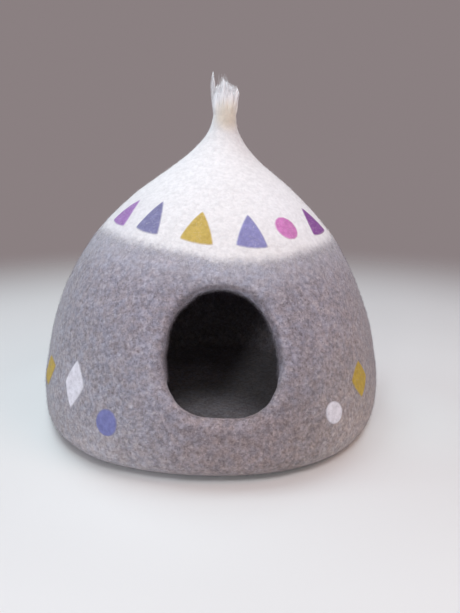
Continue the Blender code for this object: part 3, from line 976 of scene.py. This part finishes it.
def felt_nap(body):
    for seed, row in enumerate(NAP):
        name, slot, kind, count, spot, shortest, longest, thickness, downwards = row
        chooser = np.random.default_rng(seed)
        spots, directions = random_spots(body.data, count, chooser, spot)
        lengths = chooser.uniform(shortest, longest, count)
        paths = kind(chooser, spots, directions, lengths, downwards)
        radii = chooser.uniform(*HAIR_THICKNESSES, count) * thickness
        tones = chooser.uniform(0.0, 1.0, count)
        material = fibre_material(name + "_wool", *NAP_TONES[slot])
        fibre_piece(name, paths, radii, tones, material, slot)


# ---- the tuft ----

TUFT_SEED = 11
# The neck's wall is even up to its top, and its rounded top edge lies hidden in the wool.
NECK_WALL_TOP = 0.428
NECK_RAY_START = 0.06
# The height at which a clump's or the heart's place across the bunch sets how high it reaches.
TIP_HEIGHT = 0.475

MAIN_STRANDS = 1000
WISPS = 24
PARTED_STRANDS = 160
STRAND_STEPS = 8
STRAND_WIDTH = 0.00017
STRAND_WIDTH_SHARES = (0.6, 1.15)
STRAND_ROOTS = (0.430, 0.462)
# How strands stray from their clump in turn, spread and height, close towards its tip, and curl.
STRAND_TURN = 0.32
STRAND_SPREAD = 0.16
STRAND_LEAST_SPREAD = 0.05
STRAND_DROP = 0.005
STRAND_PULL = 0.7
STRAND_CURL = 0.0008
STRAND_CURL_SIDEWAYS = 0.7
STRAND_CURL_TURN = 7.0
CLUMPS = 28
CLUMP_TURN = 0.3
CLUMP_SPREADS = (0.97, 0.60, 0.95, 0.30)
CLUMP_SPREAD_ERRORS = (-0.06, 0.03)
CLUMP_TOP_ERRORS = (-0.0025, 0.0015)
WISP_TURN = math.pi * 1.5
WISP_SPREADS = (-0.20, 0.80)
WISP_TOP = 0.4955
WISP_DROP = 0.003

# The lock that stands apart at the left: where its tip is, and where it leaves the bunch.
PARTED_X = 0.0030
PARTED_TOP = 0.4955
PARTED_ROOT = 0.434
PARTED_RADIUS = 0.0026
PARTED_START = 0.88
PARTED_HEIGHTS = (0.446, 0.478)
PARTED_GAP_HEIGHT = 0.468
PARTED_FORWARDS = -0.002
PARTED_STRAND_ROOTS = (0.425, 0.445)
PARTED_STRAND_DROP = 0.009
PARTED_STRAND_DEPTH = 0.0020
PARTED_STRAND_SIDE = 0.0012
# Its girth grows on the way up and closes again at the tip.
PARTED_GIRTH = 0.7
PARTED_GROWTH = 2.0
PARTED_CLOSING = 0.90

LOCK_ROOT = 0.424
LOCK_BELOW_TOP = 0.0035
LOCK_RADIUS = 0.0054
LOCK_RADIUS_SHARES = (0.85, 1.1)
LOCK_ROOT_SHARE = 0.25
LOCK_SWELLING = 1.6
LOCK_SPREAD = 0.80
LOCK_POINT = 2.4
LOCK_FLUTES = 0.35
LOCK_FLUTE_SCALE = 1.6
LOCK_FLUTE_CHANGE = 1.5
LOCK_FLUTE_SHIFT = 9
LOCK_BEND = 0.0014
LOCK_BEND_TURN = 3.5
LOCK_TONES = (0.35, 0.75)
LOCK_STEPS = 14
LOCK_SIDES = 12

HEART_BOTTOM = 0.412
HEART_SHARE = 0.97
HEART_NECK_SHARE = 1.04
HEART_LOOSE_OVER = 0.030
HEART_BELOW_TOP = 0.0130
HEART_UNDER_NECK = 0.0010
HEART_ROUNDING_START = 0.7
HEART_CLOSING = 0.16
HEART_RIDGES_AROUND = 1.4
HEART_RIDGES_UPWARDS = 14
HEART_RIDGES = [
    # fineness, height as a share of the radius
    (1.5, 0.07),
    (4.0, 0.04),
]
HEART_TONE = 0.5
HEART_STEPS = 44
HEART_SIDES = 96


def tuft_middle(height):
    return float(looked_up(TUFT_SECTIONS, height))


def tuft_radius(height):
    return float(looked_up(TUFT_SECTIONS, height, 2))


def tuft_top(x):
    return float(looked_up(TUFT_TOPS, x))


def bunch_point(height, turn, spread):
    radius = tuft_radius(height) * spread
    return Vector((tuft_middle(height) + radius * math.sin(turn), -radius * math.cos(turn), height))


def outwards_at(turn):
    return Vector((math.sin(turn), -math.cos(turn), 0.0))


def neck_point(surface, height, turn):
    """The point on the felt neck at that height, on the side where turn points."""
    outwards = outwards_at(turn)
    middle = Vector((tuft_middle(height), 0.0, height))
    place, _, _, _ = surface.ray_cast(middle + outwards * NECK_RAY_START, -outwards)
    if place is None:
        return bunch_point(height, turn, 1.0)
    return place + outwards * STRAND_WIDTH


def bunch_strand(chooser, clump):
    """A strand of the main bunch, which closes towards its clump's tip."""
    clump_turn, clump_spread, clump_top = clump
    turn = clump_turn + chooser.gauss(0, STRAND_TURN)
    spread = min(1.0, max(STRAND_LEAST_SPREAD, clump_spread + chooser.gauss(0, STRAND_SPREAD)))
    root = chooser.uniform(*STRAND_ROOTS)
    top = clump_top - abs(chooser.gauss(0, STRAND_DROP))
    wave = chooser.uniform(0, math.tau)
    path = []
    for i in range(STRAND_STEPS + 1):
        share = i / STRAND_STEPS
        height = root + (top - root) * share
        pull = share**2 * STRAND_PULL
        now_turn = turn + (clump_turn - turn) * pull
        now_spread = spread + (clump_spread - spread) * pull
        curl = STRAND_CURL * math.sin(wave + share * STRAND_CURL_TURN) * share
        curl = Vector((curl, STRAND_CURL_SIDEWAYS * curl, 0.0))
        path.append(bunch_point(height, now_turn, now_spread) + curl)
    return path


def parted_x(height):
    left = tuft_middle(height) - PARTED_START * tuft_radius(min(height, PARTED_GAP_HEIGHT))
    return left + (PARTED_X - left) * float(smooth_step(*PARTED_HEIGHTS, height))


def parted_path(steps, root, top, side=0.0, depth=0.0):
    """A line up the lock that stands apart at the left, to the side of its middle and behind it."""
    path = []
    for i in range(steps + 1):
        share = i / steps
        height = root + (top - root) * share
        girth = (PARTED_GIRTH + PARTED_GROWTH * share) * (1.0 - PARTED_CLOSING * share**2)
        y = depth * girth + PARTED_FORWARDS * share
        path.append(Vector((parted_x(height) + side * girth, y, height)))
    return path


def parted_strand(chooser):
    root = chooser.uniform(*PARTED_STRAND_ROOTS)
    top = PARTED_TOP - abs(chooser.gauss(0, PARTED_STRAND_DROP))
    depth = chooser.gauss(0, PARTED_STRAND_DEPTH)
    return parted_path(STRAND_STEPS, root, top, chooser.gauss(0, PARTED_STRAND_SIDE), depth)


def tuft_clumps(chooser):
    """Where the main bunch's tips gather, as turn, spread and height."""
    clumps = []
    for i in range(CLUMPS):
        turn = math.tau * (i + chooser.uniform(-CLUMP_TURN, CLUMP_TURN)) / CLUMPS
        spread = CLUMP_SPREADS[i % len(CLUMP_SPREADS)] + chooser.uniform(*CLUMP_SPREAD_ERRORS)
        top = tuft_top(bunch_point(TIP_HEIGHT, turn, spread).x)
        clumps.append((turn, spread, top + chooser.uniform(*CLUMP_TOP_ERRORS)))
    return clumps


def tuft_strands():
    chooser = random.Random(TUFT_SEED)
    clumps = tuft_clumps(chooser)
    paths = [bunch_strand(chooser, clumps[i % CLUMPS]) for i in range(MAIN_STRANDS)]
    for _ in range(WISPS):
        spread = chooser.uniform(*WISP_SPREADS)
        top = WISP_TOP - abs(chooser.gauss(0, WISP_DROP))
        paths.append(bunch_strand(chooser, (WISP_TURN, spread, top)))
    paths += [parted_strand(chooser) for _ in range(PARTED_STRANDS)]
    widths = np.array([chooser.uniform(*STRAND_WIDTH_SHARES) * STRAND_WIDTH for _ in paths])
    tones = [chooser.random() for _ in paths]
    return np.array(paths), widths, tones


def spire_faces(rings, sides):
    """The faces of a closed form of rings of points, lowest first, and of a tip."""
    faces = []
    for low in range(0, (rings - 1) * sides, sides):
        for i in range(sides):
            after = (i + 1) % sides
            faces.append([low + i, low + after, low + sides + after, low + sides + i])
    faces.append(list(range(sides - 1, -1, -1)))
    top = (rings - 1) * sides
    return faces + [[top + i, top + (i + 1) % sides, top + sides] for i in range(sides)]


def lock_mesh(path, radius, seed):
    """A closed, fluted and pointed lock of wool along a rising path."""
    coordinates = []
    for step, place in enumerate(path[:-1]):
        share = step / LOCK_STEPS
        girth = radius * min(1.0, LOCK_ROOT_SHARE + LOCK_SWELLING * share) * (1 - share**LOCK_POINT)
        lift = Vector((0, 0, LOCK_FLUTE_CHANGE * share + LOCK_FLUTE_SHIFT * seed))
        for corner in range(LOCK_SIDES):
            turn = math.tau * corner / LOCK_SIDES
            around = Vector((math.cos(turn), math.sin(turn), 0.0))
            flute = 1 + LOCK_FLUTES * noise.noise(around * LOCK_FLUTE_SCALE + lift)
            coordinates.append(place + around * girth * flute)
    return coordinates + [path[-1]], spire_faces(LOCK_STEPS, LOCK_SIDES)


def lock_path(chooser, clump):
    """A lock's middle line, from inside the bunch up to its clump's tip."""
    turn, spread, top = clump
    wave = chooser.uniform(0, math.tau)
    path = []
    for i in range(LOCK_STEPS + 1):
        share = i / LOCK_STEPS
        height = LOCK_ROOT + (top - LOCK_BELOW_TOP - LOCK_ROOT) * share
        bend = LOCK_BEND * math.sin(wave + share * LOCK_BEND_TURN) * share
        place = bunch_point(height, turn, spread * (LOCK_SPREAD + (1 - LOCK_SPREAD) * share**3))
        path.append(place + Vector((bend, -bend, 0.0)))
    return path


def tuft_locks(material):
    """Dense pointed locks, which give the bunch its body between the loose strands."""
    chooser = random.Random(TUFT_SEED)
    shapes = []
    for clump in tuft_clumps(chooser):
        path = lock_path(chooser, clump)
        shapes.append((path, LOCK_RADIUS * chooser.uniform(*LOCK_RADIUS_SHARES)))
    shapes.append((parted_path(LOCK_STEPS, PARTED_ROOT, PARTED_TOP), PARTED_RADIUS))
    coordinates, faces, tones = [], [], []
    for seed, (path, radius) in enumerate(shapes):
        places, lock_faces = lock_mesh(path, radius, seed)
        faces += [[i + len(coordinates) for i in face] for face in lock_faces]
        coordinates += places
        tones += [chooser.uniform(*LOCK_TONES)] * len(places)
    locks = new_piece("tuft_locks", coordinates, faces, material)
    give_points(locks.data, "tone", tones)
    locks.data.shade_smooth()


def heart_point(share, turn, neck):
    """A point of the bunch's dense inside, from under the neck's skin up to its uneven top."""
    edge_x = bunch_point(TIP_HEIGHT, turn, HEART_SHARE).x
    middle_x = tuft_middle(TIP_HEIGHT)
    rounding = smooth_step(HEART_ROUNDING_START, 1.0, share)
    top = tuft_top(edge_x + (middle_x - edge_x) * rounding) - HEART_BELOW_TOP
    height = HEART_BOTTOM + (top - HEART_BOTTOM) * share
    closing = max(0.0, share - 1 + HEART_CLOSING) / HEART_CLOSING
    close = math.sqrt(max(0.0, 1 - closing**2))
    around = HEART_RIDGES_AROUND
    place = Vector((math.sin(turn) * around, math.cos(turn) * around, height * HEART_RIDGES_UPWARDS))
    ridges = sum(reach * noise.noise(place * fineness) for fineness, reach in HEART_RIDGES)
    loose = smooth_step(NECK_WALL_TOP, NECK_WALL_TOP + HEART_LOOSE_OVER, height)
    spread = HEART_NECK_SHARE + (HEART_SHARE - HEART_NECK_SHARE) * loose
    point = bunch_point(height, turn, spread * (1 + ridges * loose) * close)
    if height > NECK_WALL_TOP:
        return point
    rise = smooth_step(HEART_BOTTOM, NECK_WALL_TOP, height)
    under = neck_point(neck, height, turn) - outwards_at(turn) * HEART_UNDER_NECK
    return under.lerp(point, rise)


def tuft_heart(material, neck):
    rows = [i / HEART_STEPS for i in range(HEART_STEPS)]
    turns = [math.tau * i / HEART_SIDES for i in range(HEART_SIDES)]
    coordinates = [heart_point(share, turn, neck) for share in rows for turn in turns]
    coordinates.append(heart_point(1.0, 0.0, neck))
    faces = spire_faces(HEART_STEPS, HEART_SIDES)
    heart = new_piece("tuft_heart", coordinates, faces, material)
    give_points(heart.data, "tone", [HEART_TONE] * len(coordinates))
    heart.data.shade_smooth()


def wool_tuft(material, neck):
    tuft = fibre_piece("wool_tuft", *tuft_strands(), material, "white_wool")
    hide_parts("tuft")
    tuft_heart(material, neck)
    tuft_locks(material)


# ---- the stage ----

# The camera's angles are in degrees.
CAMERA_PLACE = (-0.0402, -0.8143, 0.3665)
CAMERA_TILT = 75.5
CAMERA_TURN = -4.7
CAMERA_LENS = 31.83
FLOOR_RADIUS = 1.9
FLOOR_FADE = (0.75, 1.85)
FLOOR_CORNERS = 160
FLOOR_COLOUR = (0.768, 0.765, 0.762)
FLOOR_SHADE = 0.97
FLOOR_CLOUDS = 0.25
FLOOR_ROUGHNESS = 0.55
FLOOR_SPECULAR = 0.25
# Painted light on the floor round the base and at its right, which lightens the body's shadow there.
FLOOR_PAINTED_LIGHT = [
    # factors, middle, radius
    ((1.24, 1.28, 1.28), (0.000, 0.000, 0.0), 0.420),
    ((1.06, 1.10, 1.10), (0.250, -0.080, 0.0), 0.180),
]
BACKDROP_COLOUR = (0.255, 0.215, 0.220)
LIGHTS = [
    # name, place, aim, width of the lamp, watts, colour
    ("key", (0.05, -1.35, 1.60), (0.0, 0.0, 0.15), 0.45, 10.2, (0.94, 0.97, 1.00)),
    ("window", (-0.55, -1.50, 0.70), (0.0, -0.2, 0.15), 0.18, 3.1, (0.95, 0.98, 1.00)),
    ("top_left", (-0.60, 0.30, 1.70), (0.0, 0.0, 0.25), 1.2, 16.8, (0.78, 0.94, 1.00)),
    ("top_right", (0.70, 0.30, 1.65), (0.0, 0.0, 0.25), 1.0, 5.5, (0.74, 0.88, 1.00)),
    ("left", (-1.30, -1.00, 0.45), (0.0, 0.0, 0.15), 1.0, 3.2, (0.78, 0.78, 1.00)),
    ("right", (1.10, -0.90, 1.50), (0.0, 0.0, 0.20), 0.9, 6.6, (1.00, 0.56, 0.46)),
    ("front", (0.00, -1.60, 0.90), (0.0, 0.0, 0.20), 1.4, 1.2, (0.80, 1.00, 0.70)),
]


def floor():
    sizes = {"vertices": FLOOR_CORNERS, "radius": FLOOR_RADIUS}
    bpy.ops.mesh.primitive_circle_add(fill_type="NGON", **sizes)
    plane = bpy.context.object
    plane.name = "floor"
    nodes = Nodes("pale_floor")
    shade = tuple(FLOOR_SHADE * channel for channel in FLOOR_COLOUR)
    colour = nodes.mix(nodes.noise(FLOOR_CLOUDS), FLOOR_COLOUR, shade)
    # Painted light round the base.
    colour = with_tints_and_painted_light(nodes, colour, FLOOR_PAINTED_LIGHT)
    shown = nodes.step(nodes.distance((0.0, 0.0, 0.0)), *FLOOR_FADE, 1.0, 0.0)
    nodes.shade(colour, FLOOR_ROUGHNESS, FLOOR_SPECULAR, Alpha=shown)
    plane.data.materials.append(nodes.material)


def studio():
    for name, place, aim, width, watts, colour in LIGHTS:
        lamp = bpy.data.lights.new(name, "AREA")
        lamp.size = width
        lamp.energy = watts
        lamp.color = colour
        light = new_object(name, lamp)
        light.location = place
        light.rotation_euler = (Vector(aim) - Vector(place)).to_track_quat("-Z", "Y").to_euler()
    world = bpy.data.worlds.new("room")
    world.use_nodes = True
    world.node_tree.nodes["Background"].inputs["Color"].default_value = (*BACKDROP_COLOUR, 1.0)
    bpy.context.scene.world = world


def camera():
    lens = bpy.data.cameras.new("camera")
    lens.lens = CAMERA_LENS
    viewer = new_object("camera", lens)
    viewer.location = CAMERA_PLACE
    viewer.rotation_euler = (math.radians(CAMERA_TILT), 0.0, math.radians(CAMERA_TURN))
    bpy.context.scene.camera = viewer
    bpy.context.scene.view_settings.view_transform = "Standard"


body = felt_body(body_material())
body_surface = BVHTree.FromObject(body, bpy.context.evaluated_depsgraph_get())
felt_motifs(body_surface)
felt_nap(body)
wool_tuft(tuft_material(), body_surface)
floor()
studio()
camera()
